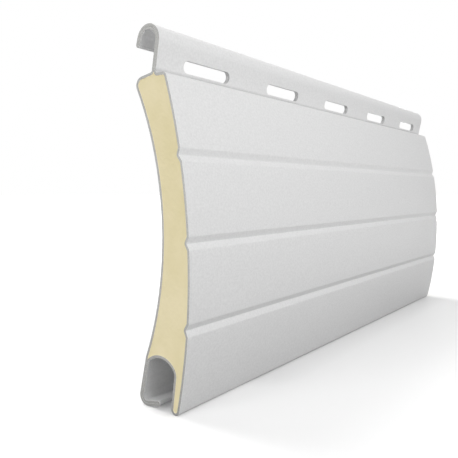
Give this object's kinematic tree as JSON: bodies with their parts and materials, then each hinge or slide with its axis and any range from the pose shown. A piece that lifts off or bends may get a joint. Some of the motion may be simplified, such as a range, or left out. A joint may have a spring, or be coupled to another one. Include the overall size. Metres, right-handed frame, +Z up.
{
  "type": "roller shutter slat",
  "caption": "Curved foam-filled aluminium slat of a roller shutter, with a slotted hook along the top and a channel along the foot that takes the next slat's hook.",
  "frame": {"origin": "middle of the slat's length and thickness, at the level of the foot it stands on", "axes": "+X along the slat, +Y towards the hollow back face, +Z up from the channel to the hook"},
  "size_m": [0.1, 0.0094, 0.0512],
  "materials": {
    "lacquered_aluminium": "fine-grained matt lacquer, bare metal on the cut ends",
    "hard_foam": "sawn, fine closed cells"
  },
  "bodies": {
    "root": {"aluminium_skin": "lacquered_aluminium", "foam_core": "hard_foam"}
  },
  "joints": []
}
